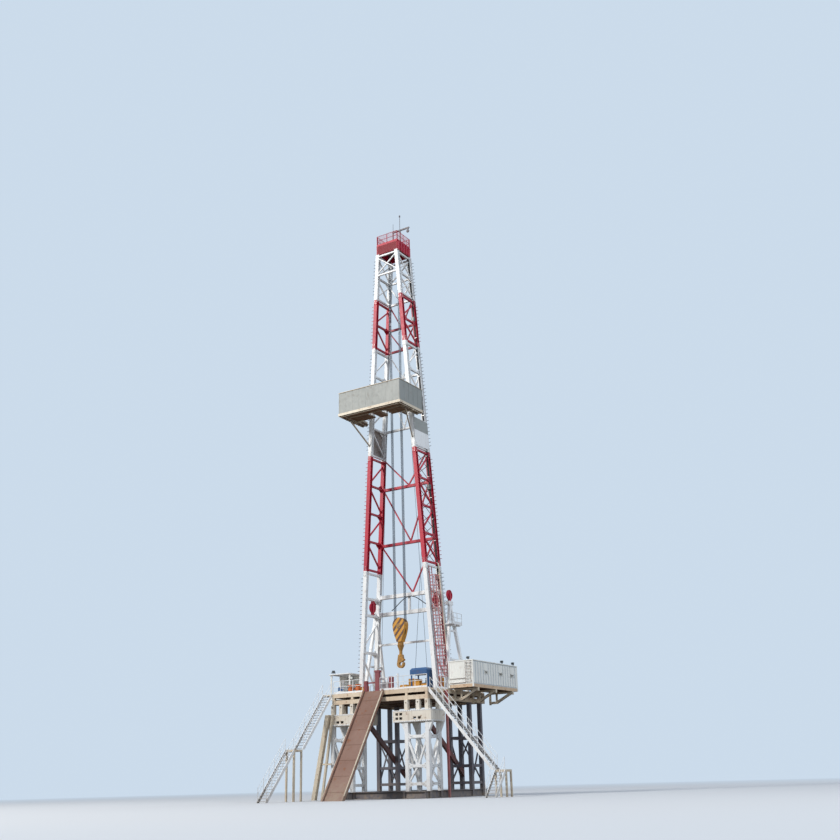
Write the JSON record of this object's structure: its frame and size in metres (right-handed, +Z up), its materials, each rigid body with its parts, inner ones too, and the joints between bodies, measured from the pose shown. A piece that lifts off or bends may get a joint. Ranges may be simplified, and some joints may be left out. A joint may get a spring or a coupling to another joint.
{
  "type": "land drilling rig, 1:2 scale model",
  "caption": "Land drilling rig at half size: banded open-front mast with crown and racking board on a raised floor with ramp, stairs and side cabin.",
  "frame": {"origin": "on the ground under the well centre, on the rotary table's axis", "axes": "+Z up, -Y towards the foot of the pipe ramp, +X towards the side cabin"},
  "size_m": [9.8903, 10.3964, 29.3506],
  "materials": {
    "white_paint": "weathered gloss",
    "cream_paint": "weathered satin",
    "crimson_paint": "weathered gloss",
    "rusty_steel": "rusty matt",
    "dark_steel": "weathered satin",
    "amber_paint": "worn gloss",
    "blue_paint": "weathered gloss",
    "maroon_paint": "weathered satin",
    "wire_rope": "greased wire rope"
  },
  "bodies": {
    "rig": {"base_skids": "dark_steel", "base_spreaders": "dark_steel", "front_towers": "white_paint", "rear_towers": "dark_steel", "side_braces": "rusty_steel", "service_boxes": "white_paint", "raking_columns": "cream_paint", "cabin_post": "crimson_paint", "floor_beams": "cream_paint", "floor_deck": "cream_paint", "rotary_table": "maroon_paint", "v_door_posts": "maroon_paint", "floor_railings": "white_paint", "pipe_ramp": "rusty_steel", "stair_sides": "white_paint", "stair_landings": "cream_paint", "stair_treads": "dark_steel", "left_shelter": "white_paint", "shelter_roof": "white_paint", "drillers_cabin": "blue_paint", "control_stand": "white_paint", "tool_chests": "amber_paint", "drawworks": "amber_paint", "side_cabin_floor": "cream_paint", "side_cabin_walls": "white_paint", "side_cabin_roof": "white_paint", "cabin_brackets": "cream_paint", "mast_shoes": "dark_steel", "mast_sides_1": "white_paint", "mast_sides_2": "crimson_paint", "mast_sides_3": "white_paint", "mast_sides_4": "crimson_paint", "mast_sides_5": "white_paint", "sheave_forks": "crimson_paint", "mast_back_1": "white_paint", "mast_back_2": "crimson_paint", "mast_back_3": "white_paint", "mast_top_bracing": "white_paint", "mast_panels": "white_paint", "raising_frame": "white_paint", "frame_platform": "white_paint", "mast_ladder": "crimson_paint", "standpipe": "cream_paint", "racking_floor": "rusty_steel", "racking_walls": "cream_paint", "racking_struts": "cream_paint", "crown_beams": "crimson_paint", "crown_rails": "crimson_paint", "crown_sheaves": "dark_steel", "gin_pole": "dark_steel", "drilling_lines": "wire_rope"},
    "block": {"travelling_block": "amber_paint"},
    "hook": {"hook": "amber_paint"},
    "mast_sheave_left": {"mast_sheave_left": "crimson_paint"},
    "mast_sheave_right": {"mast_sheave_right": "crimson_paint"},
    "frame_sheave_left": {"frame_sheave_left": "crimson_paint"},
    "frame_sheave_right": {"frame_sheave_right": "crimson_paint"}
  },
  "joints": [
    {"name": "block_hoist", "type": "slide", "parent": "rig", "child": "block", "axis": [0, 0, 1], "range_m": [-0.8, 16.6], "deforming": ["drilling_lines"]},
    {"name": "hook_swivel", "type": "hinge", "parent": "block", "child": "hook", "pos_m": [0, 0, 6.7], "axis": [0, 0, 1], "continuous": true},
    {"name": "mast_sheave_left_spin", "type": "hinge", "parent": "rig", "child": "mast_sheave_left", "pos_m": [-1.77953, 0.30499, 8.58], "axis": [1, 0, 0], "continuous": true},
    {"name": "mast_sheave_right_spin", "type": "hinge", "parent": "rig", "child": "mast_sheave_right", "pos_m": [1.77953, 0.30499, 8.58], "axis": [1, 0, 0], "continuous": true},
    {"name": "frame_sheave_left_spin", "type": "hinge", "parent": "rig", "child": "frame_sheave_left", "pos_m": [-2.075, 1.05, 8.875], "axis": [1, 0, 0], "continuous": true},
    {"name": "frame_sheave_right_spin", "type": "hinge", "parent": "rig", "child": "frame_sheave_right", "pos_m": [2.075, 1.05, 8.875], "axis": [1, 0, 0], "continuous": true}
  ]
}
